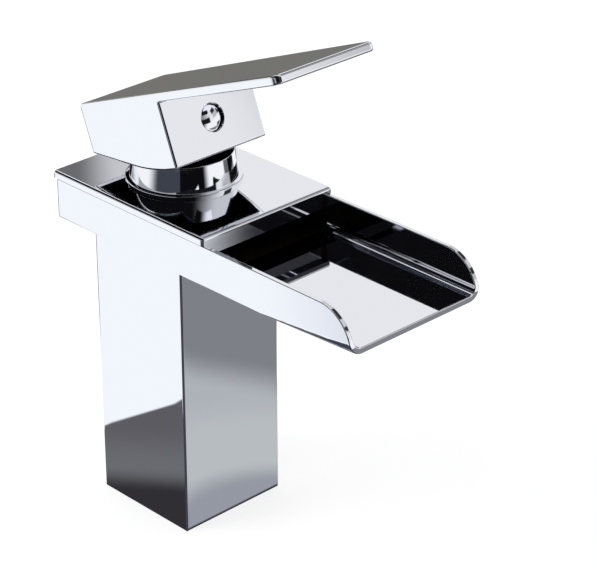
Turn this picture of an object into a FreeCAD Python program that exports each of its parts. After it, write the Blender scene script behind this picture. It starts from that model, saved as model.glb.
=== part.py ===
import FreeCAD, Part
import math
import os

V = FreeCAD.Vector

# Waterfall basin mixer: square column, wide flat head with an open trough,
# one lever over a 35 mm ceramic disc cartridge. Millimetres, +X towards the
# trough lip, +Z up, origin at the middle of the column's foot on the deck.

# ---- shared clearances -----------------------------------------------------
OVERCUT = 1.0
SLIP_GAP = 0.2
THREAD_GAP = 0.05
TURN_GAP = 0.07

# ---- outer sizes -----------------------------------------------------------
COLUMN_SIDE = 45.0
COLUMN_TOP = 107.5
COLUMN_WALL = 4.0
CAVITY_CORNER = 3.0
CAVITY_TOP = 70.0
HEAD_HALF = 29.8
HEAD_BACK = -33.4
HEAD_HEIGHT = 14.8
HEAD_WALL = 1.8
TROUGH_FLOOR = 2.2
LIP_X = 111.0
LIP_ROUND = 14.3
LIP_BEND_X = 70.0
EDGE_ROUND = 0.8
LIP_EDGE_ROUND = 5.0
TROUGH_CORNER = 3.0
RIM_ROUND = 0.3
RIB_THICK = 2.0
RIB_SHORT = 8.0
PLATE_THICK = 2.7
PLATE_OVERHANG = 1.8
PLATE_LONG = 77.5
PLATE_CORNER = 1.2
PLATE_EDGE = 1.1
PLATE_LIP_THICK = 2.5
PLATE_LIP_BACK = 1.9
PLATE_LIP_DEEP = 5.3
SEAL_THICK = 1.0

HEAD_TOP = COLUMN_TOP + HEAD_HEIGHT
HEAD_FLOOR = COLUMN_TOP + TROUGH_FLOOR
PLATE_TOP = HEAD_TOP + PLATE_THICK
PLATE_BACK = HEAD_BACK - PLATE_OVERHANG
PLATE_FRONT = PLATE_BACK + PLATE_LONG
TURRET_TOP = HEAD_TOP - SEAL_THICK

# ---- cartridge heights, from its foot upwards --------------------------------
CHAMBER_DEEP = 13.5
FOOT_HIGH = 4.0
SPIGOT_HIGH = 3.0
LATCH_HIGH = 2.0
SEAL_DEEP = 1.5
DISC_SEAL_DEEP = 1.4
FIXED_DISC_THICK = 4.0
MOVING_DISC_THICK = 4.0
POCKET_DEEP = 2.6
DISC_FILM = 0.03
SLIDER_THICK = 4.0
LUG_HIGH = 1.9
TONGUE_HIGH = 3.3
ROTOR_LIFT = 0.3
ROTOR_FLANGE_THICK = 3.7
THRUST_GAP = 0.05
THRUST_THICK = 0.55
HOUSING_ROOF = 1.4
NECK_HIGH = 12.0
ROTOR_PROUD = 0.2
PIVOT_DROP = 5.2
SEAT_HIGH = 18.0
RING_THICK = 1.3
FLANGE_THICK = 1.7

CHAMBER_FLOOR = COLUMN_TOP - CHAMBER_DEEP
HOUSING_BOTTOM = CHAMBER_FLOOR + FOOT_HIGH
FOOT_TOP = HOUSING_BOTTOM + SPIGOT_HIGH
FIXED_DISC_TOP = FOOT_TOP + FIXED_DISC_THICK
MOVING_DISC_TOP = FIXED_DISC_TOP + MOVING_DISC_THICK
SLIDER_TOP = MOVING_DISC_TOP + SLIDER_THICK
TONGUE_TOP = SLIDER_TOP + TONGUE_HIGH
ROTOR_BOTTOM = SLIDER_TOP + ROTOR_LIFT
ROTOR_SHOULDER = ROTOR_BOTTOM + ROTOR_FLANGE_THICK
HOUSING_CEILING = ROTOR_SHOULDER + THRUST_GAP + THRUST_THICK
SHOULDER_TOP = HOUSING_CEILING + HOUSING_ROOF
NECK_TOP = SHOULDER_TOP + NECK_HIGH
ROTOR_TOP = NECK_TOP + ROTOR_PROUD
PIVOT_Z = ROTOR_TOP - PIVOT_DROP
SEAT_STEP = CHAMBER_FLOOR + SEAT_HIGH
FLANGE_BOTTOM = SEAT_STEP + RING_THICK
FLANGE_TOP = FLANGE_BOTTOM + FLANGE_THICK

# ---- cartridge radii, from its shell inwards and outwards ---------------------
HOUSING_R = 17.5
HOUSING_GAP = 0.15
HOUSING_WALL = 1.7
FLANGE_WIDE = 1.3
SHOULDER_STEP = 1.6
SHOULDER_SLOPE = 1.0
TURRET_WALL = 2.0
DISC_ROOM = 1.2
DISC_NOTCH = 1.4
NOTCH_HALF = 2.0
MOVING_ROOM = 3.8
POCKET_BACK = 9.0
POCKET_FRONT = 3.4
POCKET_HALF = 5.6
POCKET_RIM = 1.6
POCKET_CORNER = 3.0
SLIDER_PROUD = 1.5
TONGUE_HALF = 5.9
TONGUE_LONG = 8.0
TONGUE_CORNER = 1.5
LUG_HALF = 1.8
LUG_IN = 2.4
LUG_OUT = 1.2
LUG_GAP = 0.1
ROTOR_GAP = 0.4
NECK_WALL = 2.1
STOP_WIDE = 1.3
STOP_GAP = 0.3
STOP_HALF_DEG = 15.0
SWIVEL_DEG = 45.0
SPARE_DEG = 0.5
LATCH_HALF_DEG = 12.0
LATCH_SINK = 1.0

CHAMBER_R = HOUSING_R + HOUSING_GAP
HOUSING_BORE = HOUSING_R - HOUSING_WALL
FLANGE_R = HOUSING_R + FLANGE_WIDE
SHOULDER_R = HOUSING_R - FLANGE_WIDE
NECK_R = SHOULDER_R - SHOULDER_STEP
FOOT_R = HOUSING_R - SLIP_GAP
FOOT_SPIGOT_R = HOUSING_BORE - SLIP_GAP
FIXED_DISC_R = HOUSING_BORE - DISC_ROOM
MOVING_DISC_R = FIXED_DISC_R - MOVING_ROOM
SLIDER_R = MOVING_DISC_R + SLIDER_PROUD
ROTOR_FLANGE_R = HOUSING_BORE - ROTOR_GAP
ROTOR_NECK_R = NECK_R - NECK_WALL
STOP_R = ROTOR_FLANGE_R - STOP_WIDE
NUT_R = FLANGE_R + SLIP_GAP
TURRET_R = NUT_R + TURRET_WALL

# ---- water ways in the column ------------------------------------------------
PORT_X = 5.5
PORT_Y = 7.0
PORT_R = 2.8
OUTLET_X = -8.0
OUTLET_R = 3.4
PORT_SEAL_WIDE = 1.9
DISC_SEAL_WIDE = 1.6
TUNNEL_R = 3.0
TUNNEL_DROP = 5.5
RISER_HALF = 6.0
RISER_SINK = 1.15
RISER_WALL = 1.0
WINDOW_ROOF = 0.3
WINDOW_HALF_DEG = 60.0
HOSE_SOCKET_R = 4.46
HOSE_SOCKET_DEEP = 12.0
SOCKET_CONE = 1.6

TUNNEL_Z = CHAMBER_FLOOR - TUNNEL_DROP
RISER_FLOOR = TUNNEL_Z - TUNNEL_R
RISER_IN = CHAMBER_R - RISER_SINK
RISER_OUT = TURRET_R - RISER_WALL
WINDOW_TOP = SEAT_STEP - WINDOW_ROOF

# ---- lever -----------------------------------------------------------------
LIFT_REST_DEG = 21.8
LIFT_FULL_DEG = 25.0
PIN_R = 2.0
PIN_GAP = 0.05
PIN_SHORT = 0.4
PIN_CHAMFER = 0.3
BALL_R = 2.8
BALL_GAP = 0.3
BALL_MOUTH = 1.8
BALL_BACK_ROOM = 1.1
ARM_R = 2.2
STEM_HALF = 4.0
STEM_FOOT = 5.0
STEM_TAPER = 1.6
STEM_TOP = 26.5
STEM_CHAMFER = 0.6
STEM_GAP = 0.1
SWEEP_GAP = 0.4
BLOCK_BACK = -21.6
BLOCK_FRONT = 23.4
PADDLE_TIP = 87.1
LEVER_TOP = 31.8
PADDLE_THICK = 3.2
PADDLE_CORNER = 2.5
LEVER_EDGE = 0.8
BACK_HALF = 19.5
TIP_HALF = 22.0
BLOCK_BACK_LOW = 14.0
BLOCK_FRONT_LOW = 5.5
BEND_S = 0.4
BEND_N = 7.9
BEND_MID_S = 9.1
BEND_MID_N = 6.1
BEND_END_S = 18.0
BLOCK_WALL = 2.0
BLOCK_SIDE_WALL = 1.7
BLOCK_ROOF = 4.2
CAVITY_ROUND = 1.5
SOCKET_GAP = 0.05
SOCKET_SPARE = 0.4
POST_HALF = 6.4
POST_LOW = 14.2
WEB_HALF = 1.5
SINK = 0.5
SCREW_N = 17.7
SCREW_R = 2.5
SCREW_LONG = 12.0
SCREW_TUBE_WALL = 1.7
HEX_FLATS = 2.5
HEX_DEEP = 2.5
RECESS_R = 4.75
RECESS_DEEP = 3.8
RECESS_WALL = 1.4
RECESS_FLOOR = 2.2
RECESS_CHAMFER = 0.35
CAP_GAP = 0.2
CAP_THICK = 2.6
CAP_SPIGOT = 2.0
DISH_R = 6.2
DISH_DEEP = 1.3

BALL_ARM = PIVOT_Z - SLIDER_TOP

# ---- collar and nut --------------------------------------------------------
NUT_NECK_WALL = 1.6
NUT_BEVEL = 0.5
NUT_SINK = 0.3
NUT_LOW = 0.1
SLOT_HALF = 2.0
SLOT_DEEP = 2.4
PLATE_HOLE_GAP = 0.6
COLLAR_WALL = 1.1
COLLAR_FLARE = 1.5
COLLAR_FLANGE_WIDE = 1.5
COLLAR_FLANGE_THICK = 1.2
COLLAR_HIGH = 10.4
COLLAR_ROOF = 2.4
COLLAR_LIP = 0.5
COLLAR_ROUND = 0.3
COLLAR_GROOVE = 0.5

NUT_NECK_R = NECK_R + SLIP_GAP + NUT_NECK_WALL
PLATE_HOLE_R = NUT_NECK_R + PLATE_HOLE_GAP
COLLAR_HOLE_R = ROTOR_NECK_R - COLLAR_LIP
COLLAR_TOP_R = NUT_NECK_R + COLLAR_WALL
COLLAR_LOW_R = COLLAR_TOP_R + COLLAR_FLARE
COLLAR_FLANGE_R = COLLAR_LOW_R + COLLAR_FLANGE_WIDE

# ---- fixing under the deck -------------------------------------------------
DECK_THICK = 25.0
STUD_R = 4.0
STUD_X = -13.5
STUD_INSIDE = 15.0
STUD_BELOW = 55.0
STUD_CHAMFER = 0.7
STUD_HOLE_GAP = 0.3
BOSS_R = 7.0
BOSS_LOW = 2.0
BOSS_ROOF = 3.0
BOSS_NOSE = 1.0
WASHER_R = 22.0
CLAMP_SHRINK = 0.8
RUBBER_THICK = 3.0
STEEL_THICK = 2.0
HOSE_NOTCH_R = 12.0
HOSE_NOTCH_X = 6.5
NUT_FLATS = 13.0
NUT_HIGH = 8.0
NUT_CORNER_IN = 1.0
NUT_CORNER_UP = 0.6
SEAL_GROOVE_IN = 19.5
SEAL_GROOVE_OUT = 21.5
SEAL_GROOVE_DEEP = 1.5
SEAL_CORNER_OUT = 3.0
SEAL_CORNER_IN = 1.5

STUD_END = -STUD_BELOW


def box(x0, x1, y0, y1, z0, z1):
    return Part.makeBox(x1 - x0, y1 - y0, z1 - z0, V(x0, y0, z0))


def cylinder(radius, z0, z1, x=0.0, y=0.0):
    return Part.makeCylinder(radius, z1 - z0, V(x, y, z0))


def tube(inner, outer, z0, z1, x=0.0, y=0.0):
    return cylinder(outer, z0, z1, x, y).cut(cylinder(inner, z0, z1, x, y))


def turned(profile):
    """Solid of revolution about Z from (radius, height) points."""
    points = [V(r, 0, z) for r, z in profile]
    wire = Part.makePolygon(points + [points[0]])
    return Part.Face(wire).revolve(V(0, 0, 0), V(0, 0, 1), 360)


def side_prism(points, half):
    """Prism across Y from (x, z) corner points."""
    corners = [V(x, -half, z) for x, z in points]
    wire = Part.makePolygon(corners + [corners[0]])
    return Part.Face(wire).extrude(V(0, 2 * half, 0))


def plan_prism(points, z0, z1):
    """Upright prism from (x, y) corner points."""
    corners = [V(x, y, z0) for x, y in points]
    wire = Part.makePolygon(corners + [corners[0]])
    return Part.Face(wire).extrude(V(0, 0, z1 - z0))


def sector(inner, outer, middle_deg, half_deg, z0, z1):
    """Part of a ring, half_deg to each side of middle_deg."""
    start = middle_deg - half_deg
    pie = Part.makeCylinder(outer, z1 - z0, V(0, 0, z0), V(0, 0, 1), 2 * half_deg)
    pie.rotate(V(0, 0, 0), V(0, 0, 1), start)
    return pie.cut(cylinder(inner, z0, z1))


def strut(start, end, width, z0, z1):
    """Straight upright wall between two plan points."""
    run = V(end[0] - start[0], end[1] - start[1], 0)
    side = V(-run.y, run.x, 0).normalize() * (width / 2)
    a = V(start[0], start[1], 0)
    b = V(end[0], end[1], 0)
    corners = [a + side, a - side, b - side, b + side]
    return plan_prism([(c.x, c.y) for c in corners], z0, z1)


def rounded(shape, radius, wanted):
    """Round the edges whose middle point and direction pass the test."""
    edges = []
    for edge in shape.Edges:
        ends = edge.Vertexes
        if len(ends) == 2:
            along = ends[1].Point - ends[0].Point
            if wanted(edge.CenterOfMass, along):
                edges.append(edge)
    return shape.makeFillet(radius, edges)


def is_upright(along):
    return abs(along.x) + abs(along.y) < 0.01


def lifted(shape):
    """Turn a piece of the lever from shut to its lifted rest and seat it."""
    turned_piece = shape.copy()
    turned_piece.rotate(V(0, 0, 0), V(0, 1, 0), -LIFT_REST_DEG)
    turned_piece.translate(V(0, 0, PIVOT_Z))
    return turned_piece


def port_places():
    return [(PORT_X, PORT_Y, PORT_R), (PORT_X, -PORT_Y, PORT_R), (OUTLET_X, 0.0, OUTLET_R)]


# ---- column ----------------------------------------------------------------

def column_shell():
    half = COLUMN_SIDE / 2
    shaft = box(-half, half, -half, half, 0, COLUMN_TOP)
    shaft = rounded(shaft, EDGE_ROUND, lambda mid, along: is_upright(along))
    shaft = shaft.fuse(cylinder(TURRET_R, COLUMN_TOP, TURRET_TOP)).removeSplitter()
    inner = half - COLUMN_WALL
    cavity = box(-inner, inner, -inner, inner, 0, CAVITY_TOP)
    cavity = rounded(cavity, CAVITY_CORNER, lambda mid, along: is_upright(along))
    return shaft.cut(cavity)


def water_ways():
    """Chamber, ports, tunnel, riser and window as one cutting shape."""
    top = TURRET_TOP + OVERCUT
    ways = cylinder(CHAMBER_R, CHAMBER_FLOOR, top)
    ways = ways.fuse(cylinder(NUT_R + THREAD_GAP, SEAT_STEP, top))
    for side in (-1, 1):
        y = side * PORT_Y
        port = cylinder(PORT_R, CAVITY_TOP, CHAMBER_FLOOR + OVERCUT, PORT_X, y)
        socket_top = CAVITY_TOP + HOSE_SOCKET_DEEP
        socket = cylinder(HOSE_SOCKET_R, CAVITY_TOP - OVERCUT, socket_top, PORT_X, y)
        cone = Part.makeCone(HOSE_SOCKET_R, PORT_R, SOCKET_CONE, V(PORT_X, y, socket_top))
        ways = ways.fuse([port, socket, cone])
    outlet = cylinder(OUTLET_R, TUNNEL_Z, CHAMBER_FLOOR + OVERCUT, OUTLET_X, 0)
    tunnel_long = RISER_IN + OVERCUT - OUTLET_X
    tunnel = Part.makeCylinder(TUNNEL_R, tunnel_long, V(OUTLET_X, 0, TUNNEL_Z), V(1, 0, 0))
    riser = box(RISER_IN, RISER_OUT, -RISER_HALF, RISER_HALF, RISER_FLOOR, WINDOW_TOP)
    rim = TURRET_R + OVERCUT
    window = sector(RISER_IN, rim, 0, WINDOW_HALF_DEG, HEAD_FLOOR, WINDOW_TOP)
    return ways.fuse([outlet, tunnel, riser, window])


def stud_boss():
    inner = COLUMN_SIDE / 2 - COLUMN_WALL
    top = STUD_INSIDE + BOSS_ROOF
    middle = STUD_X + BOSS_NOSE
    pad = box(-inner - SINK, middle, -BOSS_R, BOSS_R, BOSS_LOW, top)
    nose = cylinder(BOSS_R, BOSS_LOW, top, middle, 0)
    return pad.fuse(nose)


def seal_ring(z0, z1):
    wide = SEAL_GROOVE_OUT
    narrow = SEAL_GROOVE_IN
    outer = box(-wide, wide, -wide, wide, z0, z1)
    inner = box(-narrow, narrow, -narrow, narrow, z0, z1)
    outer = rounded(outer, SEAL_CORNER_OUT, lambda mid, along: is_upright(along))
    inner = rounded(inner, SEAL_CORNER_IN, lambda mid, along: is_upright(along))
    return outer.cut(inner)


def column_body():
    body = column_shell().fuse(stud_boss()).cut(water_ways())
    body = body.cut(cylinder(STUD_R + THREAD_GAP, -OVERCUT, STUD_INSIDE, STUD_X, 0))
    return body.cut(seal_ring(-OVERCUT, SEAL_GROOVE_DEEP))


def base_seal():
    return seal_ring(0, SEAL_GROOVE_DEEP)


# ---- head and cover plate --------------------------------------------------

def head_section(x, half, z0, z1, corner):
    """Cross-section wire of the head with its two lower corners rounded."""
    turn = corner * (1 - math.cos(math.pi / 4))
    right = Part.Arc(V(x, half, z0 + corner), V(x, half - turn, z0 + turn), V(x, half - corner, z0))
    left = Part.Arc(V(x, corner - half, z0), V(x, turn - half, z0 + turn), V(x, -half, z0 + corner))
    lines = [
        Part.makeLine(V(x, half, z1), V(x, half, z0 + corner)),
        right.toShape(),
        Part.makeLine(V(x, half - corner, z0), V(x, corner - half, z0)),
        left.toShape(),
        Part.makeLine(V(x, -half, z0 + corner), V(x, -half, z1)),
        Part.makeLine(V(x, -half, z1), V(x, half, z1)),
    ]
    return Part.Wire(lines)


def lip_outline():
    """Side view of the head's front: flat top that rounds down to the lip."""
    turn = LIP_ROUND * math.sin(math.pi / 4)
    middle = V(LIP_X - LIP_ROUND + turn, 0, HEAD_TOP - LIP_ROUND + turn)
    start = V(LIP_X - LIP_ROUND, 0, HEAD_TOP)
    end = V(LIP_X, 0, HEAD_TOP - LIP_ROUND)
    low = V(LIP_X, 0, COLUMN_TOP)
    back_low = V(HEAD_BACK - OVERCUT, 0, COLUMN_TOP)
    back_top = V(HEAD_BACK - OVERCUT, 0, HEAD_TOP)
    edges = [
        Part.makeLine(back_top, start),
        Part.Arc(start, middle, end).toShape(),
        Part.makeLine(end, low),
        Part.makeLine(low, back_low),
        Part.makeLine(back_low, back_top),
    ]
    face = Part.Face(Part.Wire(edges))
    half = HEAD_HALF + OVERCUT
    face.translate(V(0, -half, 0))
    return face.extrude(V(0, 2 * half, 0))


def head_block():
    rear = head_section(HEAD_BACK, HEAD_HALF, COLUMN_TOP, HEAD_TOP, EDGE_ROUND)
    bend = head_section(LIP_BEND_X, HEAD_HALF, COLUMN_TOP, HEAD_TOP, EDGE_ROUND)
    tip = head_section(LIP_X, HEAD_HALF, COLUMN_TOP, HEAD_TOP, LIP_EDGE_ROUND)
    back_part = Part.makeLoft([rear, bend], True, True)
    front_part = Part.makeLoft([bend, tip], True, True)
    back_part = rounded(back_part, EDGE_ROUND, lambda mid, along: is_upright(along) and mid.x < 0)
    return back_part.fuse(front_part).common(lip_outline())


def channel_walls(z0, z1):
    """Two ribs that spread the water from the turret to the trough's width."""
    lean = math.radians(WINDOW_HALF_DEG)
    inner = TURRET_R - RISER_WALL
    root = (inner * math.cos(lean), inner * math.sin(lean))
    reach = (PLATE_FRONT - RIB_SHORT, HEAD_HALF - HEAD_WALL - SLIP_GAP)
    left = strut(root, reach, RIB_THICK, z0, z1)
    right = strut((root[0], -root[1]), (reach[0], -reach[1]), RIB_THICK, z0, z1)
    return left.fuse(right)


def on_rim(mid, along):
    """True for the two long edges round the top of each side wall."""
    reach = math.hypot(mid.x - LIP_X + LIP_ROUND, mid.z - HEAD_TOP + LIP_ROUND)
    on_arc = mid.x > LIP_X - LIP_ROUND and abs(reach - LIP_ROUND) < 0.1
    on_top = mid.z > HEAD_TOP - 0.01
    return abs(along.y) < 0.01 and abs(along.x) > 1 and (on_top or on_arc)


def spout_head():
    half = HEAD_HALF - HEAD_WALL
    top = HEAD_TOP + OVERCUT
    back = HEAD_BACK + HEAD_WALL
    start = head_section(back, half, HEAD_FLOOR, top, TROUGH_CORNER)
    end = head_section(LIP_X + OVERCUT, half, HEAD_FLOOR, top, TROUGH_CORNER)
    trough = Part.makeLoft([start, end], True, True)
    head = rounded(head_block().cut(trough), RIM_ROUND, on_rim)
    ribs = channel_walls(HEAD_FLOOR - SINK, TURRET_TOP)
    ribs = ribs.cut(cylinder(TURRET_R + THREAD_GAP, 0, HEAD_TOP))
    head = head.fuse(ribs)
    hole = cylinder(TURRET_R + THREAD_GAP, COLUMN_TOP - OVERCUT, HEAD_TOP)
    return head.cut(hole).removeSplitter()


def cover_plate():
    plate = box(PLATE_BACK, PLATE_FRONT, -HEAD_HALF, HEAD_HALF, HEAD_TOP, PLATE_TOP)
    plate = rounded(plate, PLATE_CORNER, lambda mid, along: is_upright(along))
    plate = rounded(plate, PLATE_EDGE, lambda mid, along: mid.z > PLATE_TOP - 0.01)
    lip_half = HEAD_HALF - HEAD_WALL - SLIP_GAP
    lip_front = PLATE_FRONT - PLATE_LIP_BACK
    lip_back = lip_front - PLATE_LIP_THICK
    lip = box(lip_back, lip_front, -lip_half, lip_half, HEAD_TOP - PLATE_LIP_DEEP, HEAD_TOP)
    plate = plate.fuse(lip)
    return plate.cut(cylinder(PLATE_HOLE_R, HEAD_TOP - OVERCUT, PLATE_TOP + OVERCUT))


def plate_seal():
    ring = tube(NUT_R + THREAD_GAP, TURRET_R, TURRET_TOP, HEAD_TOP)
    strips = channel_walls(TURRET_TOP, HEAD_TOP)
    half = HEAD_HALF - HEAD_WALL
    keep = box(0, PLATE_FRONT, -half, half, TURRET_TOP, HEAD_TOP)
    return ring.fuse(strips.common(keep)).removeSplitter()


# ---- collar and nut --------------------------------------------------------

def bonnet_collar():
    low = PLATE_TOP
    step = low + COLLAR_FLANGE_THICK
    top = low + COLLAR_HIGH
    bore = NUT_NECK_R + THREAD_GAP
    edge = COLLAR_ROUND
    neck = COLLAR_LOW_R - edge
    profile = [
        (bore, low),
        (COLLAR_FLANGE_R - edge, low),
        (COLLAR_FLANGE_R, low + edge),
        (COLLAR_FLANGE_R, step - edge),
        (COLLAR_FLANGE_R - edge, step),
        (neck, step),
        (neck, step + COLLAR_GROOVE),
        (COLLAR_LOW_R, step + COLLAR_GROOVE + edge),
        (COLLAR_TOP_R, top - 3 * edge),
        (COLLAR_TOP_R - edge, top - edge),
        (COLLAR_TOP_R - 3 * edge, top),
        (COLLAR_HOLE_R + edge, top),
        (COLLAR_HOLE_R, top - edge),
        (COLLAR_HOLE_R, top - COLLAR_ROOF),
        (bore, top - COLLAR_ROOF),
    ]
    return turned(profile)


def retaining_nut():
    bore = NECK_R + SLIP_GAP
    wide_bore = SHOULDER_R + SLIP_GAP
    top = NECK_TOP - NUT_LOW
    shelf = TURRET_TOP - NUT_SINK
    profile = [
        (wide_bore, FLANGE_TOP),
        (NUT_R - NUT_BEVEL, FLANGE_TOP),
        (NUT_R, FLANGE_TOP + NUT_BEVEL),
        (NUT_R, shelf),
        (NUT_NECK_R, shelf),
        (NUT_NECK_R, top - NUT_BEVEL),
        (NUT_NECK_R - NUT_BEVEL, top),
        (bore, top),
        (bore, SHOULDER_TOP + NUT_LOW),
        (wide_bore, SHOULDER_TOP + NUT_LOW),
    ]
    nut = turned(profile)
    for turn in (45, 135):
        slot = box(-NUT_R, NUT_R, -SLOT_HALF, SLOT_HALF, top - SLOT_DEEP, top + OVERCUT)
        slot.rotate(V(0, 0, 0), V(0, 0, 1), turn)
        nut = nut.cut(slot)
    return nut


# ---- cartridge -------------------------------------------------------------

def cartridge_housing():
    profile = [
        (HOUSING_BORE, HOUSING_BOTTOM),
        (HOUSING_R, HOUSING_BOTTOM),
        (HOUSING_R, FLANGE_BOTTOM),
        (FLANGE_R, FLANGE_BOTTOM),
        (FLANGE_R, FLANGE_TOP),
        (SHOULDER_R, FLANGE_TOP),
        (SHOULDER_R, SHOULDER_TOP - SHOULDER_SLOPE),
        (SHOULDER_R - SHOULDER_SLOPE, SHOULDER_TOP),
        (NECK_R, SHOULDER_TOP),
        (NECK_R, NECK_TOP - NUT_BEVEL),
        (NECK_R - NUT_BEVEL, NECK_TOP),
        (ROTOR_NECK_R + TURN_GAP, NECK_TOP),
        (ROTOR_NECK_R + TURN_GAP, HOUSING_CEILING),
        (HOUSING_BORE, HOUSING_CEILING),
    ]
    shell = turned(profile)
    stop_out = HOUSING_BORE + SINK
    stop = sector(STOP_R, stop_out, 180, STOP_HALF_DEG, ROTOR_BOTTOM, ROTOR_SHOULDER)
    shell = shell.fuse(stop)
    low = HOUSING_BOTTOM - OVERCUT
    high = HOUSING_BOTTOM + LATCH_HIGH
    for turn in (90, 270):
        latch = sector(HOUSING_BORE - LATCH_SINK, FLANGE_R, turn, LATCH_HALF_DEG, low, high)
        shell = shell.cut(latch)
    return shell.removeSplitter()


def cartridge_base():
    foot = cylinder(FOOT_R, CHAMBER_FLOOR, HOUSING_BOTTOM)
    spigot = cylinder(FOOT_SPIGOT_R, HOUSING_BOTTOM, FOOT_TOP)
    foot = foot.fuse(spigot)
    for turn in (90, 270):
        tab = sector(
            FOOT_SPIGOT_R - LATCH_SINK,
            FOOT_R,
            turn,
            LATCH_HALF_DEG - SPARE_DEG,
            HOUSING_BOTTOM,
            HOUSING_BOTTOM + LATCH_HIGH - NUT_LOW,
        )
        foot = foot.fuse(tab)
    under = CHAMBER_FLOOR - OVERCUT
    over = FOOT_TOP + OVERCUT
    for x, y, radius in port_places():
        foot = foot.cut(cylinder(radius, under, over, x, y))
        low = cylinder(radius + PORT_SEAL_WIDE, under, CHAMBER_FLOOR + SEAL_DEEP, x, y)
        high = cylinder(radius + DISC_SEAL_WIDE, FOOT_TOP - DISC_SEAL_DEEP, over, x, y)
        foot = foot.cut(low).cut(high)
    return foot.removeSplitter()


def seal_rings(wider, z0, z1):
    """One ring per port, kept as separate solids in one group."""
    rings = []
    for x, y, radius in port_places():
        rings.append(tube(radius + SLIP_GAP, radius + wider, z0, z1, x, y))
    return Part.makeCompound(rings)


def port_seals():
    return seal_rings(PORT_SEAL_WIDE, CHAMBER_FLOOR, CHAMBER_FLOOR + SEAL_DEEP)


def disc_seals():
    return seal_rings(DISC_SEAL_WIDE, FOOT_TOP - DISC_SEAL_DEEP, FOOT_TOP)


def housing_ring():
    half = RING_THICK / 2
    return Part.makeTorus(CHAMBER_R + half, half, V(0, 0, SEAT_STEP + half))


def fixed_disc():
    disc = cylinder(FIXED_DISC_R, FOOT_TOP, FIXED_DISC_TOP)
    low = FOOT_TOP - OVERCUT
    high = FIXED_DISC_TOP + OVERCUT
    for x, y, radius in port_places():
        disc = disc.cut(cylinder(radius, low, high, x, y))
    for turn in (0, 180):
        inner = FIXED_DISC_R - DISC_NOTCH
        notch = box(inner, FIXED_DISC_R + OVERCUT, -NOTCH_HALF, NOTCH_HALF, low, high)
        notch.rotate(V(0, 0, 0), V(0, 0, 1), turn)
        disc = disc.cut(notch)
    return disc


def ball_x():
    return BALL_ARM * math.sin(math.radians(LIFT_REST_DEG))


def slide_centre():
    """Where the moving disc stands at rest: its travel is centred on the axis."""
    return ball_x() - BALL_ARM * math.sin(math.radians(LIFT_FULL_DEG)) / 2


def lug_boxes(z0, z1, gap):
    lugs = []
    for side in (-1, 1):
        inner = MOVING_DISC_R - LUG_IN - gap
        half = LUG_HALF + gap
        lug = box(-half, half, inner, MOVING_DISC_R + LUG_OUT, z0, z1)
        if side < 0:
            lug.rotate(V(0, 0, 0), V(0, 0, 1), 180)
        lugs.append(lug)
    return lugs


def moving_disc():
    disc = cylinder(MOVING_DISC_R, FIXED_DISC_TOP + DISC_FILM, MOVING_DISC_TOP)
    low = FIXED_DISC_TOP - OVERCUT
    high = FIXED_DISC_TOP + POCKET_DEEP
    pocket = box(-POCKET_BACK, POCKET_FRONT, -POCKET_HALF, POCKET_HALF, low, high)
    pocket = rounded(pocket, POCKET_CORNER, lambda mid, along: is_upright(along))
    pocket = pocket.common(cylinder(MOVING_DISC_R - POCKET_RIM, low, MOVING_DISC_TOP))
    disc = disc.cut(pocket)
    seat = MOVING_DISC_TOP - LUG_HIGH - LUG_GAP
    for lug in lug_boxes(seat, MOVING_DISC_TOP + OVERCUT, LUG_GAP):
        disc = disc.cut(lug)
    disc.translate(V(slide_centre(), 0, 0))
    return disc


def disc_slider():
    carrier = cylinder(SLIDER_R, MOVING_DISC_TOP, SLIDER_TOP)
    tongue = box(-TONGUE_LONG, TONGUE_LONG, -TONGUE_HALF, TONGUE_HALF, SLIDER_TOP, TONGUE_TOP)
    tongue = rounded(tongue, TONGUE_CORNER, lambda mid, along: is_upright(along))
    carrier = carrier.fuse(tongue)
    for lug in lug_boxes(MOVING_DISC_TOP - LUG_HIGH, MOVING_DISC_TOP, 0.0):
        carrier = carrier.fuse(lug.common(cylinder(SLIDER_R, 0, SLIDER_TOP)))
    carrier.translate(V(slide_centre(), 0, 0))
    reach = BALL_R + BALL_GAP
    shut_ball = PIVOT_Z - BALL_ARM
    mouth = shut_ball + BALL_MOUTH
    over = TONGUE_TOP + OVERCUT
    back = ball_x() - reach
    front = ball_x() + reach
    pocket = box(back, front, -reach, reach, shut_ball - reach, over)
    wide = box(back - BALL_BACK_ROOM, front + BALL_GAP, -reach, reach, mouth, over)
    return carrier.cut(pocket).cut(wide).removeSplitter()


def rotor():
    profile = [
        (0, ROTOR_BOTTOM),
        (ROTOR_FLANGE_R, ROTOR_BOTTOM),
        (ROTOR_FLANGE_R, ROTOR_SHOULDER),
        (ROTOR_NECK_R, ROTOR_SHOULDER),
        (ROTOR_NECK_R, ROTOR_TOP - NUT_BEVEL),
        (ROTOR_NECK_R - NUT_BEVEL, ROTOR_TOP),
        (0, ROTOR_TOP),
    ]
    body = turned(profile)
    wide = ROTOR_FLANGE_R + OVERCUT
    low = ROTOR_BOTTOM - OVERCUT
    channel_half = TONGUE_HALF + SLIP_GAP
    channel = box(-wide, wide, -channel_half, channel_half, low, TONGUE_TOP + ROTOR_GAP)
    slot = side_prism(stem_sweep(), STEM_HALF + STEM_GAP)
    notch_half = STOP_HALF_DEG + SWIVEL_DEG + SPARE_DEG
    notch = sector(STOP_R - STOP_GAP, wide, 180, notch_half, low, ROTOR_SHOULDER)
    body = body.cut(channel).cut(slot).cut(notch)
    hole = Part.makeCylinder(PIN_R, 2 * wide, V(0, -wide, PIVOT_Z), V(0, 1, 0))
    return body.cut(hole)


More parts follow.
